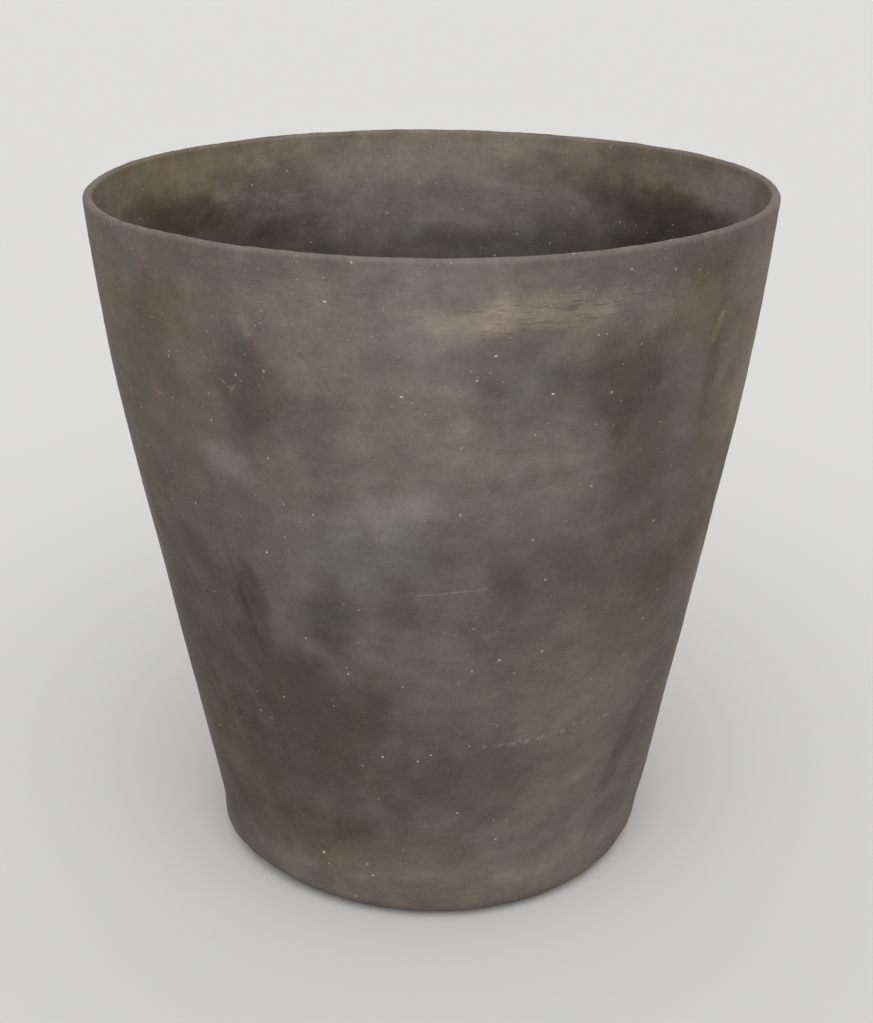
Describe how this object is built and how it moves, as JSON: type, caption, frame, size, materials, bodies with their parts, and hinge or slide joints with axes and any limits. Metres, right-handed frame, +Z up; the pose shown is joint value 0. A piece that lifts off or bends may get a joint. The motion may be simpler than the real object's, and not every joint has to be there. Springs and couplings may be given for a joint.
{
  "type": "clay planter pot",
  "caption": "Large round planter of smoke-fired black clay with a tapered wall, a flat base with a drain hole and a thin rounded lip.",
  "frame": {"origin": "centre of the flat underside, on the surface the pot stands on", "axes": "+Z up along the pot's axis of symmetry; -Y is the side that the picture shows, +X is to its right"},
  "size_m": [0.45, 0.45, 0.47],
  "materials": {
    "smoked_clay": "matte, unglazed, scraped and wiped, with smoke clouds from dark brown to pale grey and fine cream grog specks"
  },
  "bodies": {
    "root": {"base_slab": "smoked_clay", "lower_wall": "smoked_clay", "upper_wall": "smoked_clay", "rim_coil": "smoked_clay"}
  },
  "joints": []
}
